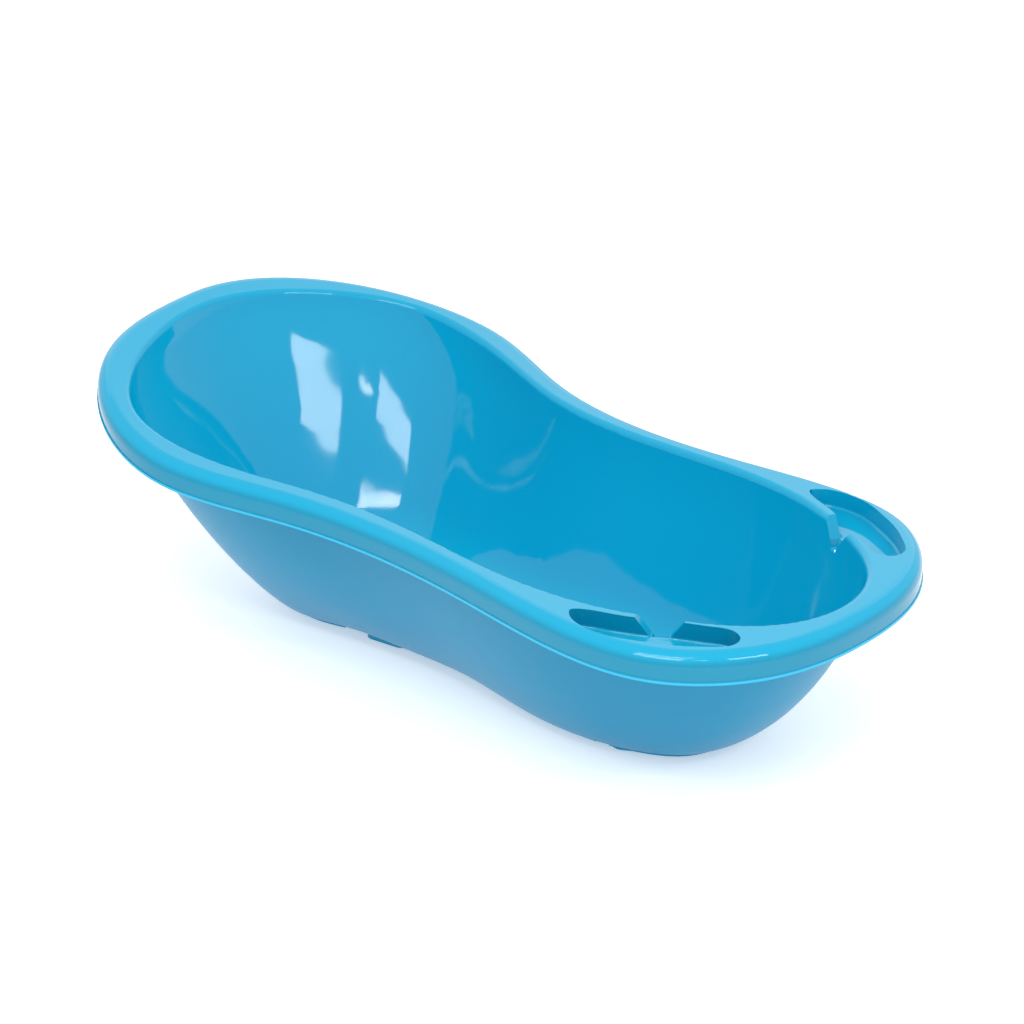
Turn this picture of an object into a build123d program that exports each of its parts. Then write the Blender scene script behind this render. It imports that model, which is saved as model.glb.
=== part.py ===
from build123d import *
import math
import os

os.makedirs("parts", exist_ok=True)

# Baby bathtub, in millimetres.  X runs from the high head end to the low foot end,
# Z is up and the soles of the foot pads stand on Z = 0.

# ---------------------------------------------------------------- driving dimensions
TUB_LENGTH = 840.0          # over the bead at the two tips
TUB_WIDTH = 462.0           # over the bead at the shoulders
HEAD_HEIGHT = 267.5         # top of the rim at the head tip
WAIST_HEIGHT = 188.0        # top of the rim at mid length
FOOT_HEIGHT = 170.5         # top of the rim at the foot tip
WALL = 3.0                  # moulded wall
DECK_WALL = 4.0             # thicker across the top of the rim

SKIRT_DEPTH = 26.0          # rim turned down all round
RIM_ROUND = 13.0            # outer top edge of the rim
LIP_ROUND = 6.0             # inner top edge of the rim
BEAD_OUT = 1.0              # bead standing proud of the skirt
BEAD_TALL = 2.2

FLOOR_TOP = 12.0            # bathing floor above the ground
CURVE_HEAD = 1.15           # how full the end walls are, 1 is straight
CURVE_FOOT = 1.36
CURVE_SHOULDER = 1.17       # how full the side walls are at the head
CURVE_HIP = 1.48            # and from the waist to the foot

DISH_DEPTH = 17.0           # soap dishes below the rim top
DISH_FLOOR_ROUND = 3.0
NOTCH_TOP = 42.0            # overflow notch between dish and basin, as deep as the dish
NOTCH_BOTTOM = 16.0
CHUTE_DEPTH = 30.0          # end of the run-off facet below the notch

STAND_INSET = 7.0           # stand rib inside the edge of the floor
STAND_GAP = 1.5             # rib bottom above the ground
STAND_ARCHES = [(-0.1476, 12.0, -4.5), (0.2381, 7.0, 0.0)]   # share of length, radius, height of centre

PAD_LENGTH = 44.0
PAD_WIDTH = 15.0
PAD_THICK = 4.5
PAD_PLAY = 0.15             # pad to its pocket
BOSS_RIM = 3.0
PADS = {                    # place as shares of length and width, turn in degrees
    "head": (-0.1000, 0.1190, -7.0),
    "foot": (0.2710, 0.1290, -30.0),
}

DRAIN_X = 222.0             # drain centre on the floor
FLANGE_RADIUS = 27.0
FLANGE_THICK = 2.2
SPIGOT_RADIUS = 19.0
SPIGOT_BORE = 15.5
SPIGOT_END = 1.5            # bottom of the spigot above the ground
SPIGOT_PLAY = 0.4           # spigot to the hole in the tub floor
GASKET_THICK = 1.5
NUT_RADIUS = 26.0
NUT_THICK = 4.0
NUT_RIBS = 12
THREAD_PLAY = 0.25          # nut and gasket bores to the spigot
STRAINER_THICK = 1.6
STRAINER_BAR = 1.8

SEAT_RADIUS = 17.0          # bore flared at the flange for the plug
SEAT_DEPTH = 10.0
PLUG_PLAY = 0.5             # plug stem to the flared bore
PLUG_STEM = 8.0
PLUG_TAPER = 1.5            # stem narrower at its end
PLUG_CAP_RADIUS = 20.0
PLUG_CAP_THICK = 3.0
TAB_WIDTH = 20.0
TAB_THICK = 4.0
TAB_RISE = 15.0

FLOOR_UNDER = FLOOR_TOP - WALL

# Half outlines from the head tip to the foot tip as shares of the length and the width.
SKIRT = [
    (-0.4977, 0.0), (-0.4555, 0.2929), (-0.3632, 0.4481), (-0.2405, 0.4974), (-0.0988, 0.4173),
    (0.0405, 0.3801), (0.1702, 0.3975), (0.2924, 0.4240), (0.3943, 0.3960), (0.4690, 0.2590),
    (0.4986, 0.0),
]
BASIN_TOP = [
    (-0.4590, 0.0), (-0.4000, 0.3041), (-0.3300, 0.4103), (-0.2200, 0.4167), (-0.0900, 0.3438),
    (0.0400, 0.3212), (0.1700, 0.3365), (0.2800, 0.3197), (0.3718, 0.2529), (0.4430, 0.1464),
    (0.4679, 0.0),
]
BASIN_FLOOR = [
    (-0.3071, 0.0), (-0.2655, 0.1245), (-0.2162, 0.1704), (-0.1387, 0.1500), (-0.0472, 0.1415),
    (0.0444, 0.1450), (0.1360, 0.1779), (0.2135, 0.1891), (0.2781, 0.1664), (0.3283, 0.1090),
    (0.3458, 0.0),
]
# One soap dish, corner to corner, in the same shares.
DISH = [
    (0.2840, 0.3680), (0.2980, 0.3900), (0.3240, 0.3990), (0.3488, 0.3920), (0.3750, 0.3700),
    (0.4024, 0.3420), (0.4298, 0.3000), (0.4435, 0.2665), (0.4410, 0.2345), (0.4250, 0.2208),
    (0.4048, 0.2370), (0.3833, 0.2576), (0.3607, 0.2825), (0.3381, 0.3074), (0.3167, 0.3258),
    (0.2935, 0.3440),
]
NOTCH_AT = (0.3580, 0.2710)     # middle of the notch on the edge of the basin
NOTCH_TURN = 59.8               # direction from the basin to the dish, degrees


# Heights of the basin sections, as shares of the way up; close together where the floor turns into the wall.
BASIN_STEPS = (0, 0.005, 0.02, 0.05, 0.11, 0.20, 0.32, 0.46, 0.60, 0.74, 0.87, 1)


def deck_height(x):
    """Top of the rim at x: high at the head, easing down to the foot."""
    s = x / TUB_LENGTH
    bow = 4 * ((HEAD_HEIGHT + FOOT_HEIGHT) / 2 - WAIST_HEIGHT) * s**2
    fall = (FOOT_HEIGHT - HEAD_HEIGHT) * (0.567 * s + 1.732 * s**3)
    return WAIST_HEIGHT + bow + fall


def real(shares):
    """Shares of the length and width turned into millimetres."""
    return [(x * TUB_LENGTH, y * TUB_WIDTH) for x, y in shares]


def grown(points, amount):
    """A half outline moved outward by amount."""
    moved = [(points[0][0] - amount, 0.0)]
    for before, here, after in zip(points, points[1:], points[2:]):
        dx = after[0] - before[0]
        dy = after[1] - before[1]
        size = math.hypot(dx, dy)
        moved.append((here[0] - amount * dy / size, here[1] + amount * dx / size))
    moved.append((points[-1][0] + amount, 0.0))
    return moved


def draw_outline(half):
    """Closed face from a half outline and its mirror image, inside a sketch."""
    other_half = [(x, -y) for x, y in half[-2:0:-1]]
    with BuildLine() as rim_line:
        Spline(*half, *other_half, periodic=True)
    make_face(rim_line.edges())


def basin_points(z):
    """Half outline of the bathing space at height z."""
    points = []
    for low, high in zip(real(BASIN_FLOOR), real(BASIN_TOP)):
        climb = (z - FLOOR_TOP) / (deck_height(high[0]) - 6 - FLOOR_TOP)
        climb = min(max(climb, 0.0), 1.0)
        along = high[0] / TUB_LENGTH + 0.5
        end_curve = CURVE_HEAD + along * (CURVE_FOOT - CURVE_HEAD)
        side_curve = CURVE_SHOULDER + min(2 * along, 1.0) * (CURVE_HIP - CURVE_SHOULDER)
        run = (1 - (1 - climb) ** end_curve) ** (1 / end_curve)
        spread = (1 - (1 - climb) ** side_curve) ** (1 / side_curve)
        points.append((low[0] + run * (high[0] - low[0]), low[1] + spread * (high[1] - low[1])))
    return points


def deck_slab(below_top, below_bottom):
    """Slab that follows the rim line between two depths, wider than the tub."""
    reach = 0.55 * TUB_LENGTH
    xs = [reach * (i / 5 - 1) for i in range(11)]
    upper = [(x, deck_height(x) - below_top) for x in xs]
    lower = [(x, deck_height(x) - below_bottom) for x in reversed(xs)]
    with BuildPart() as slab:
        with BuildSketch(Plane.XZ.offset(-0.6 * TUB_WIDTH)):
            with BuildLine():
                Spline(*upper)
                Line(upper[-1], lower[0])
                Spline(*lower)
                Line(lower[-1], upper[0])
            make_face()
        extrude(amount=1.2 * TUB_WIDTH)
    return slab.part


def edges_along_deck(part, below):
    """Edges that run at one depth below the rim top."""
    found = []
    for edge in part.edges():
        gaps = [abs(p.Z - deck_height(p.X) + below) for p in (edge @ 0.1, edge @ 0.35, edge @ 0.6, edge @ 0.85)]
        if max(gaps) < 0.5:
            found.append(edge)
    return found


def outline_block(points, bottom, top):
    """Upright block with the mirrored half outline."""
    with BuildPart() as block:
        with BuildSketch(Plane.XY.offset(bottom)):
            draw_outline(points)
        extrude(amount=top - bottom)
    return block.part


def basin_loft(levels, grow, drop):
    """Loft of the basin outlines, grown outward and lowered toward the floor."""
    top = levels[-1]
    with BuildPart() as block:
        for z in levels:
            with BuildSketch(Plane.XY.offset(z - drop * (top - z) / (top - levels[0]))):
                draw_outline(grown(basin_points(z), grow))
        loft()
    return block.part


def dish_block(grow, below, rounded):
    """One soap dish as a solid, its floor following the rim line."""
    points = real(DISH)
    moved = []
    for before, here, after in zip(points[-1:] + points[:-1], points, points[1:] + points[:1]):
        dx = after[0] - before[0]
        dy = after[1] - before[1]
        size = math.hypot(dx, dy)
        moved.append((here[0] - grow * dy / size, here[1] + grow * dx / size))
    with BuildPart() as block:
        with BuildSketch(Plane.XY.offset(FOOT_HEIGHT - 60)):
            with BuildLine():
                Spline(*moved, periodic=True)
            make_face()
        extrude(amount=120)
        add(deck_slab(-30, below), mode=Mode.INTERSECT)
        if rounded:
            fillet(edges_along_deck(block, below), radius=DISH_FLOOR_ROUND)
    return block.part


def notch_prism(grow, reach_in, reach_out):
    """Overflow channel cut, a trapezoid running from the basin to the dish."""
    x = NOTCH_AT[0] * TUB_LENGTH
    y = NOTCH_AT[1] * TUB_WIDTH
    turn = math.radians(NOTCH_TURN)
    away = Vector(math.cos(turn), math.sin(turn), 0)
    start = Vector(x, y, deck_height(x)) - away * reach_in
    lean = (NOTCH_TOP - NOTCH_BOTTOM) / 2 / DISH_DEPTH
    side = grow * math.hypot(1, lean)
    low = -DISH_DEPTH - grow
    wide = NOTCH_BOTTOM / 2 + side - lean * grow
    high = 20
    broad = wide + lean * (high - low)
    with BuildPart() as prism:
        with BuildSketch(Plane(origin=start, x_dir=(-away.Y, away.X, 0), z_dir=away)):
            with BuildLine():
                Polyline((-wide, low), (wide, low), (broad, high), (-broad, high), close=True)
            make_face()
        extrude(amount=reach_in + reach_out)
    return prism.part


def chute_wedge(grow):
    """Run-off facet below the notch, dying out on the basin wall."""
    x = NOTCH_AT[0] * TUB_LENGTH
    y = NOTCH_AT[1] * TUB_WIDTH
    turn = math.radians(NOTCH_TURN)
    away = Vector(math.cos(turn), math.sin(turn), 0)
    across = (-away.Y, away.X, 0)
    top = Vector(x, y, deck_height(x) - DISH_DEPTH + 1)
    bottom = Vector(x, y, deck_height(x) - CHUTE_DEPTH - grow)
    with BuildPart() as wedge:
        with BuildSketch(Plane(origin=top - away * 1, x_dir=across, z_dir=(0, 0, 1))):
            Rectangle(NOTCH_BOTTOM + 2 * grow, 12 + 2 * grow)
        with BuildSketch(Plane(origin=bottom - away * 8, x_dir=across, z_dir=(0, 0, 1))):
            Rectangle(2 + 2 * grow, 12 + 2 * grow)
        loft(ruled=True)
    return wedge.part


# ---------------------------------------------------------------- basin and rim envelopes
tallest = HEAD_HEIGHT + 30
basin_levels = [FLOOR_TOP + (tallest - FLOOR_TOP) * k for k in BASIN_STEPS]
basin_space = basin_loft(basin_levels, 0, 0)
basin_skin = basin_loft(basin_levels, WALL, WALL)

# ---------------------------------------------------------------- hollow under the rim
with BuildPart() as rim_hollow:
    add(outline_block(grown(real(SKIRT), -WALL), 60, tallest))
    add(deck_slab(DECK_WALL, 62), mode=Mode.INTERSECT)
    fillet(edges_along_deck(rim_hollow, DECK_WALL), radius=RIM_ROUND - WALL)
    add(basin_skin, mode=Mode.SUBTRACT)
    dish_shell = dish_block(WALL, DISH_DEPTH + WALL, False)
    notch_shell = notch_prism(WALL, 6, 14)
    chute_shell = chute_wedge(WALL)
    for backing in (dish_shell, notch_shell, chute_shell):
        add(backing, mode=Mode.SUBTRACT)
        add(backing.mirror(Plane.XZ), mode=Mode.SUBTRACT)

# ---------------------------------------------------------------- stand rib under the floor
with BuildPart() as stand:
    add(outline_block(grown(real(BASIN_FLOOR), -STAND_INSET), STAND_GAP, FLOOR_UNDER + 1))
    add(outline_block(grown(real(BASIN_FLOOR), -STAND_INSET - WALL), 0, FLOOR_UNDER + 2), mode=Mode.SUBTRACT)
    for share, radius, height in STAND_ARCHES:
        with Locations((share * TUB_LENGTH, 0, height)):
            Cylinder(radius, TUB_WIDTH, rotation=(90, 0, 0), mode=Mode.SUBTRACT)

# ---------------------------------------------------------------- bead along the lower edge of the skirt
with BuildPart() as bead:
    add(outline_block(grown(real(SKIRT), BEAD_OUT), 60, tallest))
    add(deck_slab(SKIRT_DEPTH - BEAD_TALL, SKIRT_DEPTH), mode=Mode.INTERSECT)

# ---------------------------------------------------------------- basin wall, its top kept below the rim surface
with BuildPart() as skin:
    add(basin_skin)
    add(deck_slab(10, 500), mode=Mode.INTERSECT)

# ---------------------------------------------------------------- tub shell, one moulding
with BuildPart() as tub_shell:
    # rim turned down all round, its outer top edge rolled over
    add(outline_block(real(SKIRT), 60, tallest))
    add(deck_slab(0, SKIRT_DEPTH), mode=Mode.INTERSECT)
    fillet(edges_along_deck(tub_shell, 0), radius=RIM_ROUND)
    # bead along the lower edge of the skirt
    add(bead.part)
    # basin wall hung from the rim, its top kept below the rim surface
    add(skin.part)
    # stand rib and the bosses that hold the foot pads
    add(stand.part)
    for share_x, share_y, turn in PADS.values():
        for side in (1, -1):
            place = Location((share_x * TUB_LENGTH, side * share_y * TUB_WIDTH, STAND_GAP), (0, 0, side * turn))
            with BuildSketch(Plane(place)):
                SlotOverall(PAD_LENGTH + 2 * BOSS_RIM, PAD_WIDTH + 2 * BOSS_RIM)
            extrude(amount=FLOOR_UNDER + 1 - STAND_GAP)
    # everything hollow
    add(rim_hollow.part, mode=Mode.SUBTRACT)
    add(basin_space, mode=Mode.SUBTRACT)
    # inner top edge softened
    lip_edges = [e for e in edges_along_deck(tub_shell, 0) if abs((e @ 0).X) > 0.4 * TUB_LENGTH]
    inside = [e for e in lip_edges if e.length < 0.97 * max(x.length for x in lip_edges)]
    fillet(inside, radius=LIP_ROUND)
    # soap dishes, their overflow notches and the run-off facets
    for cut in (dish_block(0, DISH_DEPTH, True), notch_prism(0, 12, 12), chute_wedge(0)):
        add(cut, mode=Mode.SUBTRACT)
        add(cut.mirror(Plane.XZ), mode=Mode.SUBTRACT)
    # pockets for the foot pads
    for share_x, share_y, turn in PADS.values():
        for side in (1, -1):
            place = Location((share_x * TUB_LENGTH, side * share_y * TUB_WIDTH, 0), (0, 0, side * turn))
            with BuildSketch(Plane(place)):
                SlotOverall(PAD_LENGTH + 2 * PAD_PLAY, PAD_WIDTH + 2 * PAD_PLAY)
            extrude(amount=PAD_THICK, mode=Mode.SUBTRACT)
    # drain hole
    with Locations((DRAIN_X, 0, FLOOR_UNDER)):
        Cylinder(SPIGOT_RADIUS + SPIGOT_PLAY, 4 * WALL, mode=Mode.SUBTRACT)
tub_shell.part.label = "tub_shell"

# ---------------------------------------------------------------- foot pads
pads = {}
for end, (share_x, share_y, turn) in PADS.items():
    for side, name in ((1, "left"), (-1, "right")):
        place = Location((share_x * TUB_LENGTH, side * share_y * TUB_WIDTH, 0), (0, 0, side * turn))
        with BuildPart() as pad:
            with BuildSketch(Plane(place)):
                SlotOverall(PAD_LENGTH, PAD_WIDTH)
            extrude(amount=PAD_THICK)
            fillet(pad.faces().sort_by(Axis.Z)[0].edges(), radius=0.6)
        pad.part.label = f"foot_pad_{end}_{name}"
        pads[pad.part.label] = pad.part

# ---------------------------------------------------------------- drain fitting clamped through the floor
FLANGE_TOP = FLOOR_TOP + FLANGE_THICK
with BuildPart() as drain_body:
    with Locations((DRAIN_X, 0, FLOOR_TOP)):
        Cylinder(FLANGE_RADIUS, FLANGE_THICK, align=(Align.CENTER, Align.CENTER, Align.MIN))
    fillet(drain_body.faces().sort_by(Axis.Z)[-1].edges(), radius=1.4)
    with Locations((DRAIN_X, 0, SPIGOT_END)):
        Cylinder(SPIGOT_RADIUS, FLOOR_TOP + 1 - SPIGOT_END, align=(Align.CENTER, Align.CENTER, Align.MIN))
    # bore with its flared seat
    with Locations((DRAIN_X, 0, SPIGOT_END + STRAINER_THICK)):
        Cylinder(SPIGOT_BORE, 40, align=(Align.CENTER, Align.CENTER, Align.MIN), mode=Mode.SUBTRACT)
    with Locations((DRAIN_X, 0, FLANGE_TOP - SEAT_DEPTH)):
        Cone(SPIGOT_BORE, SEAT_RADIUS, SEAT_DEPTH, align=(Align.CENTER, Align.CENTER, Align.MIN), mode=Mode.SUBTRACT)
    # strainer openings left between the cross bars at the bottom
    with BuildSketch(Plane.XY.offset(SPIGOT_END)) as strainer:
        with Locations((DRAIN_X, 0)):
            Circle(SPIGOT_BORE - 1.5)
            Rectangle(2 * SPIGOT_BORE, STRAINER_BAR, mode=Mode.SUBTRACT)
            Rectangle(STRAINER_BAR, 2 * SPIGOT_BORE, mode=Mode.SUBTRACT)
            Circle(SPIGOT_BORE * 0.55 + STRAINER_BAR / 2, mode=Mode.SUBTRACT)
            Circle(SPIGOT_BORE * 0.55 - STRAINER_BAR / 2)
            Rectangle(2 * SPIGOT_BORE, STRAINER_BAR, mode=Mode.SUBTRACT)
            Rectangle(STRAINER_BAR, 2 * SPIGOT_BORE, mode=Mode.SUBTRACT)
    extrude(amount=STRAINER_THICK + 0.5, mode=Mode.SUBTRACT)
drain_body.part.label = "drain_body"

with BuildPart() as drain_gasket:
    with Locations((DRAIN_X, 0, FLOOR_UNDER - GASKET_THICK)):
        Cylinder(NUT_RADIUS, GASKET_THICK, align=(Align.CENTER, Align.CENTER, Align.MIN))
        Cylinder(SPIGOT_RADIUS + THREAD_PLAY, GASKET_THICK, align=(Align.CENTER, Align.CENTER, Align.MIN),
                 mode=Mode.SUBTRACT)
drain_gasket.part.label = "drain_gasket"

with BuildPart() as drain_locknut:
    with Locations((DRAIN_X, 0, FLOOR_UNDER - GASKET_THICK - NUT_THICK)):
        Cylinder(NUT_RADIUS, NUT_THICK, align=(Align.CENTER, Align.CENTER, Align.MIN))
        with PolarLocations(NUT_RADIUS, NUT_RIBS):
            Cylinder(1.6, NUT_THICK, align=(Align.CENTER, Align.CENTER, Align.MIN))
        Cylinder(SPIGOT_RADIUS + THREAD_PLAY, NUT_THICK, align=(Align.CENTER, Align.CENTER, Align.MIN),
                 mode=Mode.SUBTRACT)
drain_locknut.part.label = "drain_locknut"

# ---------------------------------------------------------------- plug, lifted straight out by its tab
with BuildPart() as drain_plug:
    with Locations((DRAIN_X, 0, FLANGE_TOP)):
        Cylinder(PLUG_CAP_RADIUS, PLUG_CAP_THICK, align=(Align.CENTER, Align.CENTER, Align.MIN))
    fillet(drain_plug.faces().sort_by(Axis.Z)[-1].edges(), radius=1.2)
    with Locations((DRAIN_X, 0, FLANGE_TOP - PLUG_STEM)):
        Cone(SEAT_RADIUS - PLUG_PLAY - PLUG_TAPER, SEAT_RADIUS - PLUG_PLAY, PLUG_STEM,
             align=(Align.CENTER, Align.CENTER, Align.MIN))
    with BuildSketch(Plane.XZ.offset(-TAB_THICK / 2)):
        with Locations((DRAIN_X, FLANGE_TOP + PLUG_CAP_THICK)):
            Rectangle(TAB_WIDTH, 2 * (TAB_RISE - TAB_WIDTH / 2))
        with Locations((DRAIN_X, FLANGE_TOP + PLUG_CAP_THICK + TAB_RISE - TAB_WIDTH / 2)):
            Circle(TAB_WIDTH / 2)
        with Locations((DRAIN_X, FLANGE_TOP + PLUG_CAP_THICK / 2 - 10)):
            Rectangle(TAB_WIDTH + 2, 20, mode=Mode.SUBTRACT)
        with Locations((DRAIN_X, FLANGE_TOP + PLUG_CAP_THICK + TAB_RISE - TAB_WIDTH / 2)):
            Circle(TAB_WIDTH / 2 - 4.5, mode=Mode.SUBTRACT)
    extrude(amount=TAB_THICK)
drain_plug.part.label = "drain_plug"

# ---------------------------------------------------------------- one file for each piece
export_step(tub_shell.part, "parts/tub_shell.step")
for name, piece in pads.items():
    export_step(piece, f"parts/{name}.step")
export_step(drain_body.part, "parts/drain_body.step")
export_step(drain_gasket.part, "parts/drain_gasket.step")
export_step(drain_locknut.part, "parts/drain_locknut.step")
export_step(drain_plug.part, "parts/drain_plug.step")
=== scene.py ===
import math

import bmesh
import bpy
from mathutils import Matrix, Vector


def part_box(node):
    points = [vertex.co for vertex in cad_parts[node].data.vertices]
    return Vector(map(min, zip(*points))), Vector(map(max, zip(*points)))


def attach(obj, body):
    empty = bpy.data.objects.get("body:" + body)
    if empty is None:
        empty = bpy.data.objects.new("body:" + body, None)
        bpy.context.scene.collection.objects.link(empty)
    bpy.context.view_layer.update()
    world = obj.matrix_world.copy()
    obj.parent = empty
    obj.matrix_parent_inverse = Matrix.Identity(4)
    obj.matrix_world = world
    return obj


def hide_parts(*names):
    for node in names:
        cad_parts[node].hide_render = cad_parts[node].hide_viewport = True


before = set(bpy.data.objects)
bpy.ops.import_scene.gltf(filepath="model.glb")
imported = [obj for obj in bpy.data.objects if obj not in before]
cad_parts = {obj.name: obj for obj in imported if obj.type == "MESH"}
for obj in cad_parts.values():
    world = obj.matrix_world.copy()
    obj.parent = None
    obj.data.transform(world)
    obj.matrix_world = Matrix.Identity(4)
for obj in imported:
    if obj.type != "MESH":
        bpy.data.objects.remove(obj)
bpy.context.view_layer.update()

# ---------------------------------------------------------------- tub shell
# One injection moulding in tinted polypropylene: basin, turned-down rim, soap dishes and stand rib.
# The mould is polished inside and over the rim, and lightly textured on the outside of the basin.
RIM_TOP_HEAD = 0.2675
RIM_TOP_WAIST = 0.188
RIM_TOP_FOOT = 0.1705
TUB_LENGTH = 0.840
RIM_STRAIGHT = 0.567        # share of the fall from head to foot that is even; the rest is at the tips
SKIRT_DEPTH = 0.026
BEAD_TALL = 0.0022
BEAD_SOFT = 0.0006
BASIN_BLUE = (0.0015, 0.3700, 0.6050)
# a lighter blue for the melt's tint drift and for the up-facing basin floor, where it is painted light
FLOW_AND_LIT_FLOOR_BLUE = (0.0015, 0.4600, 0.6900)
# a darker blue for the outer basin wall below the skirt: painted shade
SHADED_SATIN_BLUE = (0.0012, 0.2280, 0.4050)
# a deeper blue for the steep skirt: painted shade
SHADED_SKIRT_BLUE = (0.0015, 0.2400, 0.3950)
# a lighter blue for the bead along the skirt's lower edge: painted highlight
BEAD_HIGHLIGHT_BLUE = (0.0300, 0.4700, 0.7200)


class Wire:
    """A shader socket that can be used in sums, products and comparisons."""

    def __init__(self, recipe, socket):
        self.recipe = recipe
        self.socket = socket

    def math(self, operation, *others):
        return self.recipe.node("ShaderNodeMath", {"operation": operation}, dict(enumerate((self,) + others)))

    def __add__(self, other):
        return self.math("ADD", other)

    __radd__ = __add__

    def __sub__(self, other):
        return self.math("SUBTRACT", other)

    def __rsub__(self, other):
        return self.recipe.node("ShaderNodeMath", {"operation": "SUBTRACT"}, {0: other, 1: self})

    def __mul__(self, other):
        return self.math("MULTIPLY", other)

    __rmul__ = __mul__

    def __truediv__(self, other):
        return self.math("DIVIDE", other)

    def limited(self):
        return self.recipe.node("ShaderNodeClamp", {}, {"Value": self})

    def between(self, low, high):
        """0 below low, 1 above high, and a smooth rise between them."""
        return self.recipe.node("ShaderNodeMapRange", {"interpolation_type": "SMOOTHSTEP"},
                                {"Value": self, "From Min": low, "From Max": high})


class Recipe:
    """A material under construction: its nodes, its surface and the piece's own coordinates."""

    def __init__(self, name):
        self.material = bpy.data.materials.new(name)
        self.material.use_nodes = True
        self.tree = self.material.node_tree
        self.surface = self.tree.nodes["Principled BSDF"]

    def node(self, kind, settings, sockets, out=0):
        """One node of a kind: its settings first, then its sockets' values or links."""
        made = self.tree.nodes.new(kind)
        for key, value in settings.items():
            setattr(made, key, value)
        for key, value in sockets.items():
            self.feed(made.inputs[key], value)
        return Wire(self, made.outputs[out])

    def feed(self, socket, value):
        if isinstance(value, Wire):
            self.tree.links.new(value.socket, socket)
        else:
            socket.default_value = value

    def set(self, **sockets):
        for key, value in sockets.items():
            self.feed(self.surface.inputs[key.replace("_", " ")], value)

    def place(self):
        return self.node("ShaderNodeTexCoord", {}, {}, "Object")

    def facing(self):
        return self.node("ShaderNodeNewGeometry", {}, {}, "Normal")

    def split(self, vector):
        return [self.node("ShaderNodeSeparateXYZ", {}, {0: vector}, axis) for axis in "XYZ"]

    def noise(self, place, scale, detail=2.0, rough=0.5):
        return self.node("ShaderNodeTexNoise", {}, {"Vector": place, "Scale": scale, "Detail": detail,
                                                    "Roughness": rough}, "Fac")

    def mix(self, share, first, second):
        made = self.tree.nodes.new("ShaderNodeMix")
        made.data_type = "RGBA"
        self.feed(made.inputs["Factor"], share)
        for socket, colour in ((made.inputs[6], first), (made.inputs[7], second)):
            self.feed(socket, colour if isinstance(colour, Wire) else (*colour, 1))
        return Wire(self, made.outputs[2])

    def bumps(self, *layers):
        """Bump layers (height, size in metres), the broad ones first."""
        normal = None
        for height, size in layers:
            sockets = {"Height": height, "Distance": size, "Strength": 1.0}
            if normal is not None:
                sockets["Normal"] = normal
            normal = self.node("ShaderNodeBump", {}, sockets)
        self.set(Normal=normal)


gloss = Recipe("tub_polypropylene")
place = gloss.place()
x, y, z = gloss.split(place)
nx, ny, nz = gloss.split(gloss.facing())
# height above the rim line, which runs high at the head and eases down to the foot
s = x / TUB_LENGTH
rim_bow = 4 * ((RIM_TOP_HEAD + RIM_TOP_FOOT) / 2 - RIM_TOP_WAIST)
rim_fall = RIM_STRAIGHT * s + 4 * (1 - RIM_STRAIGHT) * s * s * s
rim_line = RIM_TOP_WAIST + rim_bow * s * s + (RIM_TOP_FOOT - RIM_TOP_HEAD) * rim_fall
above_rim = z - rim_line
# the outside of the basin looks away from the middle and downward, below the skirt: it is textured satin, and
# its darker colour there is painted shade
outward = (x * nx * 0.35 + y * ny).between(-0.002, 0.004)
under = (nz * -1).between(-0.25, 0.15)
below_skirt = (above_rim * -1).between(SKIRT_DEPTH - 0.002, SKIRT_DEPTH + 0.002)
satin_and_shade = (outward * under * below_skirt).limited()
# slow drift of the tint where the melt flowed, and painted light: a lighter colour on the up-facing basin
# floor
flow = gloss.noise(place, 5.0, 3.0, 0.55)
drift = gloss.noise(place, 1.6, 1.0)
lit_floor = (0.060 - z).between(0.0, 0.045) * nz.between(0.3, 0.9)
flow_tint_and_floor_light = (lit_floor * 0.85 + (flow - 0.5) * 0.30 + (drift - 0.5) * 0.30).limited()
inside = gloss.mix(flow_tint_and_floor_light, BASIN_BLUE, FLOW_AND_LIT_FLOOR_BLUE)
# painted shade: the steep outward face of the skirt gets a deeper colour, where it turns away from the light
# above
shaded_skirt = (outward * (1 - below_skirt) * (1 - nz.between(0.20, 0.80))).limited()
rim_face = gloss.mix(shaded_skirt, inside, SHADED_SKIRT_BLUE)
# painted highlight: a lighter band along the bead at the skirt's lower edge
up_the_skirt = above_rim + SKIRT_DEPTH
over_bead = up_the_skirt.between(BEAD_TALL, BEAD_TALL + BEAD_SOFT)
low_edge = up_the_skirt.between(-0.0008, 0.0) * (1 - over_bead)
bead_highlight = (outward * low_edge * (1 - (nz * -1).between(0.3, 0.6))).limited()
gloss.set(Base_Color=gloss.mix(satin_and_shade * (1 - bead_highlight), gloss.mix(bead_highlight * 0.8, rim_face, BEAD_HIGHLIGHT_BLUE), SHADED_SATIN_BLUE))
# polished faces carry a faint haze of handling marks, textured faces are evenly satin
haze = gloss.noise(place, 38.0, 4.0, 0.6)
grain = gloss.noise(place, 1400.0, 2.0, 0.7)
gloss.set(Roughness=(0.040 + 0.035 * haze + satin_and_shade * (0.26 + 0.10 * grain)).limited())
peel = gloss.noise(place, 26.0, 1.0, 0.4)
swell = gloss.noise(place, 6.5, 0.0)
gloss.bumps((swell, 0.0010), (peel, 0.00006), (grain * satin_and_shade, 0.00012))
gloss.surface.inputs["IOR"].default_value = 1.50
gloss.surface.inputs["Specular IOR Level"].default_value = 0.38


def finish_in(recipe, *names):
    """Give the named pieces one material over their whole surface."""
    for name in names:
        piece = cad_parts[name]
        piece.data.materials.clear()
        piece.data.materials.append(recipe.material)


finish_in(gloss, "tub_shell")
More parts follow.
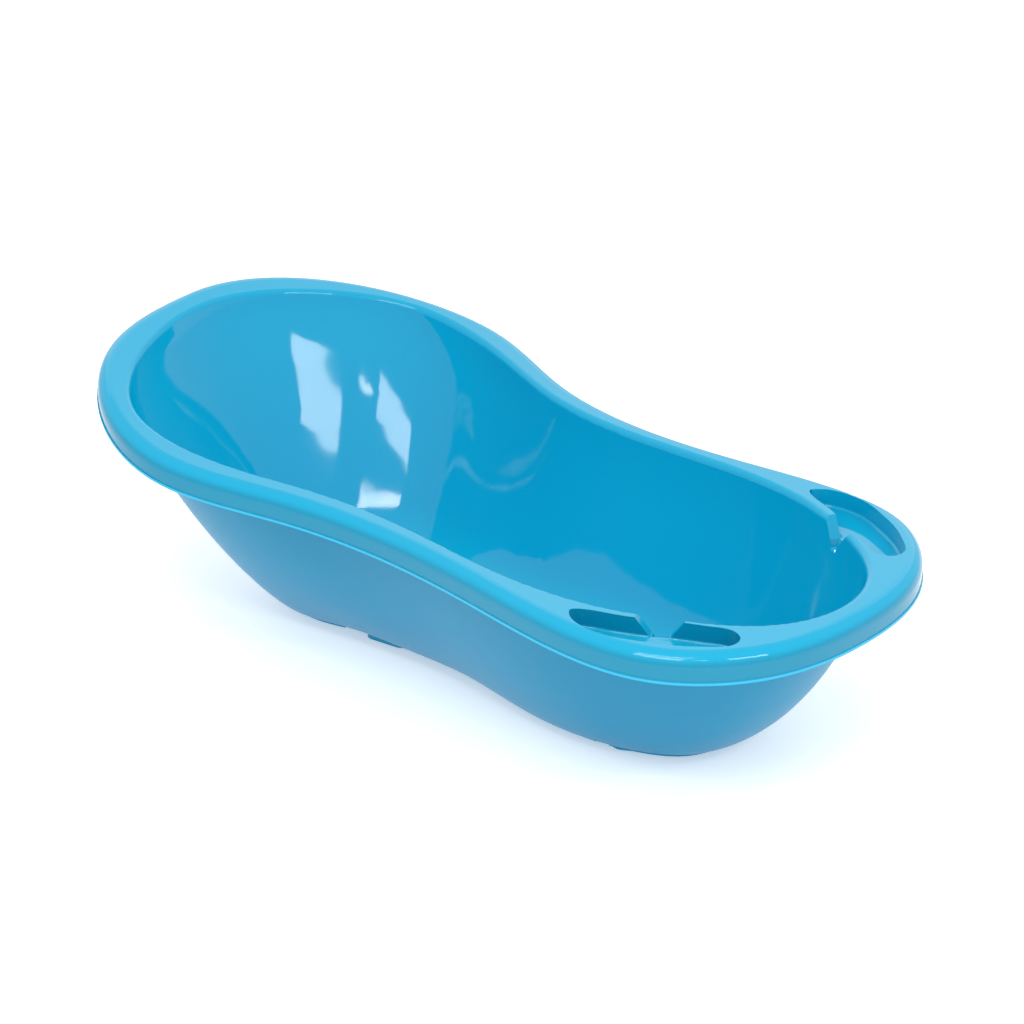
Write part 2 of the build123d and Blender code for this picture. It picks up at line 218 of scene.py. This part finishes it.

# ---------------------------------------------------------------- foot pads
# Four soft rubber pads pressed into the bosses of the stand rib. Their soles are ribbed across for grip; the
# rubber is matte, and its dark navy is painted shade, the deep shade under the tub put into the pads' colour.
PAD_LENGTH = 0.044
PAD_WIDTH = 0.015
PAD_THICK = 0.0045
RIB_PITCH = 0.0040
RIB_WIDE = 0.0022
RIB_DEEP = 0.0006
PAD_EASE = 0.0002           # block smaller than the pad's full size, so it stays inside it
PAD_EDGE = 0.0009           # rounding of the sole's edge
PAD_TOP_EDGE = 0.0002       # cut at the upper edge
PAD_SIDES = 40
EDGE_STEPS = 5
MOST_TURN = 60              # degrees searched either way for a pad's turn
# the pads' dark navy is painted shade: the deep shade under the tub
PAD_SHADE_NAVY = (0.0040, 0.0450, 0.1050)
PAD_WORN = (0.0200, 0.0800, 0.1500)
FOOT_PADS = ("foot_pad_head_left", "foot_pad_head_right", "foot_pad_foot_left", "foot_pad_foot_right")

rubber = Recipe("pad_rubber")
place = rubber.place()
x, y, z = rubber.split(place)
wear = (0.0012 - z).between(-0.0002, 0.0010)
mottle = rubber.noise(place, 220.0, 4.0, 0.65)
fine = rubber.noise(place, 2600.0, 2.0, 0.6)
rubber.set(Base_Color=rubber.mix((wear * 0.6 * mottle + 0.15 * mottle).limited(), PAD_SHADE_NAVY, PAD_WORN))
rubber.set(Roughness=(0.62 + 0.2 * mottle).limited())
rubber.bumps((mottle, 0.00008), (fine, 0.00004))


def rib_tree():
    """Tree that stands cross ribs in a row along the sole of a slot-shaped pad."""
    tree = bpy.data.node_groups.new("sole_ribs", "GeometryNodeTree")
    face = tree.interface
    for name, kind in (("Geometry", "NodeSocketGeometry"), ("Length", "NodeSocketFloat"),
                       ("Width", "NodeSocketFloat"), ("Pitch", "NodeSocketFloat"),
                       ("Rib Width", "NodeSocketFloat"), ("Rib Height", "NodeSocketFloat"),
                       ("Material", "NodeSocketMaterial")):
        face.new_socket(name, in_out="INPUT", socket_type=kind)
    face.new_socket("Geometry", in_out="OUTPUT", socket_type="NodeSocketGeometry")
    new = tree.nodes.new
    link = tree.links.new
    given = new("NodeGroupInput")

    def sum_of(operation, first, second):
        made = new("ShaderNodeMath")
        made.operation = operation
        for socket, value in zip(made.inputs, (first, second)):
            if isinstance(value, (int, float)):
                socket.default_value = value
            else:
                link(value, socket)
        return made.outputs[0]

    usable = sum_of("SUBTRACT", given.outputs["Length"], given.outputs["Width"])
    count = sum_of("ADD", sum_of("FLOOR", sum_of("DIVIDE", usable, given.outputs["Pitch"]), 0.0), 1.0)
    reach = sum_of("MULTIPLY", sum_of("SUBTRACT", count, 1.0), given.outputs["Pitch"])
    row = new("GeometryNodeMeshLine")
    row.mode = "OFFSET"
    link(count, row.inputs["Count"])
    start = new("ShaderNodeCombineXYZ")
    link(sum_of("MULTIPLY", reach, -0.5), start.inputs[0])
    link(sum_of("MULTIPLY", given.outputs["Rib Height"], 0.75), start.inputs[2])
    link(start.outputs[0], row.inputs["Start Location"])
    step = new("ShaderNodeCombineXYZ")
    link(given.outputs["Pitch"], step.inputs[0])
    link(step.outputs[0], row.inputs["Offset"])
    rib = new("GeometryNodeMeshCube")
    size = new("ShaderNodeCombineXYZ")
    link(given.outputs["Rib Width"], size.inputs[0])
    link(sum_of("MULTIPLY", given.outputs["Width"], 0.80), size.inputs[1])
    link(sum_of("MULTIPLY", given.outputs["Rib Height"], 1.5), size.inputs[2])
    link(size.outputs[0], rib.inputs["Size"])
    spread = new("GeometryNodeInstanceOnPoints")
    link(row.outputs[0], spread.inputs["Points"])
    link(rib.outputs["Mesh"], spread.inputs["Instance"])
    solid = new("GeometryNodeRealizeInstances")
    link(spread.outputs[0], solid.inputs[0])
    finish = new("GeometryNodeSetMaterial")
    link(solid.outputs[0], finish.inputs["Geometry"])
    link(given.outputs["Material"], finish.inputs["Material"])
    result = new("NodeGroupOutput")
    link(finish.outputs[0], result.inputs[0])
    return tree


def run_tree(tree, settings, name):
    """Plain mesh made by a Geometry Nodes tree with the named inputs given."""
    carrier = bpy.data.objects.new(name, bpy.data.meshes.new(name))
    bpy.context.scene.collection.objects.link(carrier)
    modifier = carrier.modifiers.new("make", "NODES")
    modifier.node_group = tree
    for item in tree.interface.items_tree:
        if item.in_out == "INPUT" and item.name in settings:
            modifier[item.identifier] = settings[item.name]
    seen = carrier.evaluated_get(bpy.context.evaluated_depsgraph_get())
    mesh = bpy.data.meshes.new_from_object(seen)
    bpy.data.objects.remove(carrier)
    return mesh


def pad_body(length, width, low, high, rounding):
    """Slot-shaped rubber block, rounded below and slightly cut above, centred on the origin."""
    mesh = bmesh.new()
    profile = []
    for i in range(EDGE_STEPS + 1):
        turn = math.pi / 2 * i / EDGE_STEPS
        profile.append((rounding * (1 - math.sin(turn)), low + rounding * (1 - math.cos(turn))))
    profile += [(0.0, high - PAD_TOP_EDGE), (PAD_TOP_EDGE, high)]
    rings = []
    for inset, level in profile:
        ring = []
        for k in range(PAD_SIDES):
            turn = 2 * math.pi * k / PAD_SIDES
            radius = width / 2 - inset
            middle = (length - width) / 2 * (1 if math.cos(turn) > 1e-9 else -1)
            ring.append(mesh.verts.new((middle + radius * math.cos(turn), radius * math.sin(turn), level)))
        rings.append(ring)
    for lower, upper in zip(rings, rings[1:]):
        for k in range(PAD_SIDES):
            after = (k + 1) % PAD_SIDES
            mesh.faces.new((lower[k], lower[after], upper[after], upper[k]))
    mesh.faces.new(list(reversed(rings[0])))
    mesh.faces.new(rings[-1])
    return mesh


sole_ribs = rib_tree()
for node in FOOT_PADS:
    low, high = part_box(node)
    middle = (Vector(low) + Vector(high)) / 2
    # the pad's turn on the ground, from its straight-edged outline
    best = None
    corners = [v.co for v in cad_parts[node].data.vertices]
    for step in range(-MOST_TURN, MOST_TURN + 1):
        turn = math.radians(step)
        sine = math.sin(turn)
        cosine = math.cos(turn)
        across = [abs(-sine * (c.x - middle.x) + cosine * (c.y - middle.y)) for c in corners]
        if best is None or max(across) < best[0]:
            best = (max(across), turn)
    body = pad_body(PAD_LENGTH - PAD_EASE, PAD_WIDTH - PAD_EASE, RIB_DEEP, PAD_THICK, PAD_EDGE)
    sizes = {"Length": PAD_LENGTH, "Width": PAD_WIDTH, "Pitch": RIB_PITCH, "Rib Width": RIB_WIDE,
             "Rib Height": RIB_DEEP, "Material": rubber.material}
    ribs = run_tree(sole_ribs, sizes, node + "_ribs")
    body.from_mesh(ribs)
    bpy.data.meshes.remove(ribs)
    bmesh.ops.recalc_face_normals(body, faces=body.faces)
    where = Matrix.Translation((middle.x, middle.y, low[2])) @ Matrix.Rotation(best[1], 4, "Z")
    bmesh.ops.transform(body, matrix=where, verts=body.verts)
    mesh = bpy.data.meshes.new(node + "_ribbed")
    body.to_mesh(mesh)
    body.free()
    mesh.materials.clear()
    mesh.materials.append(rubber.material)
    for face in mesh.polygons:
        face.material_index = 0
    pad = bpy.data.objects.new(node + "_ribbed", mesh)
    bpy.context.scene.collection.objects.link(pad)
    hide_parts(node)
    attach(pad, "tub")

# ---------------------------------------------------------------- drain fitting
# A flanged drain body in white satin plastic, screwed from below with a ribbed locknut of the same plastic
# against a flat rubber gasket. The colour varies at random and turns darker towards the bottom, below 12 mm.
DRAIN_WHITE = (0.78, 0.80, 0.81)
DRAIN_DARKER_TONE = (0.60, 0.63, 0.62)
white = Recipe("drain_plastic")
place = white.place()
x, y, z = white.split(place)
cloud = white.noise(place, 90.0, 4.0, 0.6)
low_down = (0.012 - z).between(0.0, 0.010)
white.set(Base_Color=white.mix((cloud * 0.35 + low_down * 0.35).limited(), DRAIN_WHITE, DRAIN_DARKER_TONE))
white.set(Roughness=(0.30 + 0.14 * cloud).limited())
spark = white.noise(place, 2200.0, 2.0, 0.6)
white.bumps((cloud, 0.00005), (spark, 0.00003))
finish_in(white, "drain_body", "drain_locknut")

SEAL_BLACK = (0.018, 0.018, 0.020)
SEAL_DUST = (0.055, 0.055, 0.058)
seal = Recipe("seal_rubber")
place = seal.place()
dust = seal.noise(place, 300.0, 5.0, 0.7)
seal.set(Base_Color=seal.mix(dust.between(0.35, 0.75), SEAL_BLACK, SEAL_DUST))
seal.set(Roughness=(0.60 + 0.25 * dust).limited())
seal.bumps((dust, 0.00005), (seal.noise(place, 2400.0, 2.0), 0.00003))
finish_in(seal, "drain_gasket")

# ---------------------------------------------------------------- plug
# A moulded rubber stopper with a finger tab, lifted straight out of the drain. Pale soft
# rubber, a little darker where fingers and soap reach it.
PLUG_PALE = (0.62, 0.68, 0.71)
PLUG_SOILED = (0.46, 0.52, 0.55)
soft = Recipe("plug_rubber")
place = soft.place()
x, y, z = soft.split(place)
smear = soft.noise(place, 120.0, 4.0, 0.65)
handled = (z - 0.018).between(0.0, 0.012)
soft.set(Base_Color=soft.mix((smear * 0.5 * (0.4 + 0.6 * handled)).limited(), PLUG_PALE, PLUG_SOILED))
soft.set(Roughness=(0.42 + 0.2 * smear).limited())
soft.bumps((smear, 0.00006), (soft.noise(place, 2000.0, 2.0), 0.00004))
finish_in(soft, "drain_plug")

# ---------------------------------------------------------------- studio
# A pale paper floor under even light. Two windows and two lamps of four tubes, beyond the foot end
# and the near side, reflect in the polished basin wall; a large dim sheet lights the far side.
PAPER_GLOW = 0.37
AIR_GLOW = 0.90
WINDOW_GLOW = 10.5
WINDOW_AWAY = 2.6
LAMP_AWAY = 2.4
TUBES = 4
CEILING_GLOW = 34.0
CEILING_SPACING = 0.019
WALL_GLOW = 26.0
WALL_SPACING = 0.009
SHEET_GLOW = 0.48
floor_mesh = bpy.data.meshes.new("studio_floor")
sweep = bmesh.new()
bmesh.ops.create_grid(sweep, x_segments=1, y_segments=1, size=12.0)
sweep.to_mesh(floor_mesh)
sweep.free()
floor = bpy.data.objects.new("studio_floor", floor_mesh)
bpy.context.scene.collection.objects.link(floor)
paper = Recipe("studio_paper")
fibre = paper.noise(paper.place(), 60.0, 3.0)
paper.set(Base_Color=paper.mix(fibre, (0.93, 0.93, 0.93), (0.96, 0.96, 0.96)), Roughness=0.9)
paper.surface.inputs["Specular IOR Level"].default_value = 0.0
paper.surface.inputs["Emission Color"].default_value = (1.0, 1.0, 1.0, 1.0)
paper.surface.inputs["Emission Strength"].default_value = PAPER_GLOW
floor_mesh.materials.append(paper.material)

world = bpy.data.worlds.new("studio_air")
bpy.context.scene.world = world
world.use_nodes = True
air = world.node_tree.nodes["Background"]
air.inputs["Color"].default_value = (1.0, 1.0, 1.0, 1.0)
air.inputs["Strength"].default_value = AIR_GLOW


def soft_light(name, azimuth, elevation, distance, wide, tall, glow,
               roll=0.0, aim=(-0.30, 0.10, 0.12), shift=0.0):
    """Rectangular light seen from aim in the given direction, moved by shift along its height."""
    lamp = bpy.data.lights.new(name, "AREA")
    lamp.shape = "RECTANGLE"
    lamp.size = wide
    lamp.size_y = tall
    lamp.energy = glow * math.pi * wide * tall
    holder = bpy.data.objects.new(name, lamp)
    bpy.context.scene.collection.objects.link(holder)
    turn = math.radians(azimuth)
    climb = math.radians(elevation)
    away = Vector((math.cos(turn) * math.cos(climb), math.sin(turn) * math.cos(climb), math.sin(climb)))
    holder.rotation_mode = "QUATERNION"
    rolled = Matrix.Rotation(roll, 3, "Z").to_quaternion()
    holder.rotation_quaternion = (-away).to_track_quat("-Z", "Y") @ rolled
    holder.location = Vector(aim) + away * distance + holder.rotation_quaternion @ Vector((0, shift, 0))


soft_light("window_right", -4.5, 33.6, WINDOW_AWAY, 0.71, 0.25, WINDOW_GLOW, roll=-0.49)
soft_light("window_left", -53.5, 43.6, WINDOW_AWAY, 0.28, 1.28, WINDOW_GLOW, roll=1.34)
for tube in range(TUBES):
    offset = tube - (TUBES - 1) / 2
    soft_light(f"ceiling_tube_{tube}", -47.8, 52.9, LAMP_AWAY, 1.16, 0.010, CEILING_GLOW,
               roll=-0.20, shift=CEILING_SPACING * offset)
    soft_light(f"wall_tube_{tube}", -27.0, 37.1, LAMP_AWAY, 0.30, 0.006, WALL_GLOW,
               roll=-0.39, shift=WALL_SPACING * offset)
soft_light("backdrop", 131.0, 33.0, 4.0, 5.0, 2.4, SHEET_GLOW, aim=(0.0, 0.0, 0.0))

# ---------------------------------------------------------------- camera
# A long lens above the foot end, looking down the length of the tub.
camera = bpy.data.objects.new("camera", bpy.data.cameras.new("camera"))
bpy.context.scene.collection.objects.link(camera)
camera.data.lens = 97.965
camera.location = (1.59415, -1.75243, 1.19102)
camera.rotation_mode = "QUATERNION"
camera.rotation_quaternion = Vector((-0.61046, 0.68060, -0.40513)).to_track_quat("-Z", "Y")
bpy.context.scene.camera = camera
bpy.context.scene.view_settings.view_transform = "Standard"
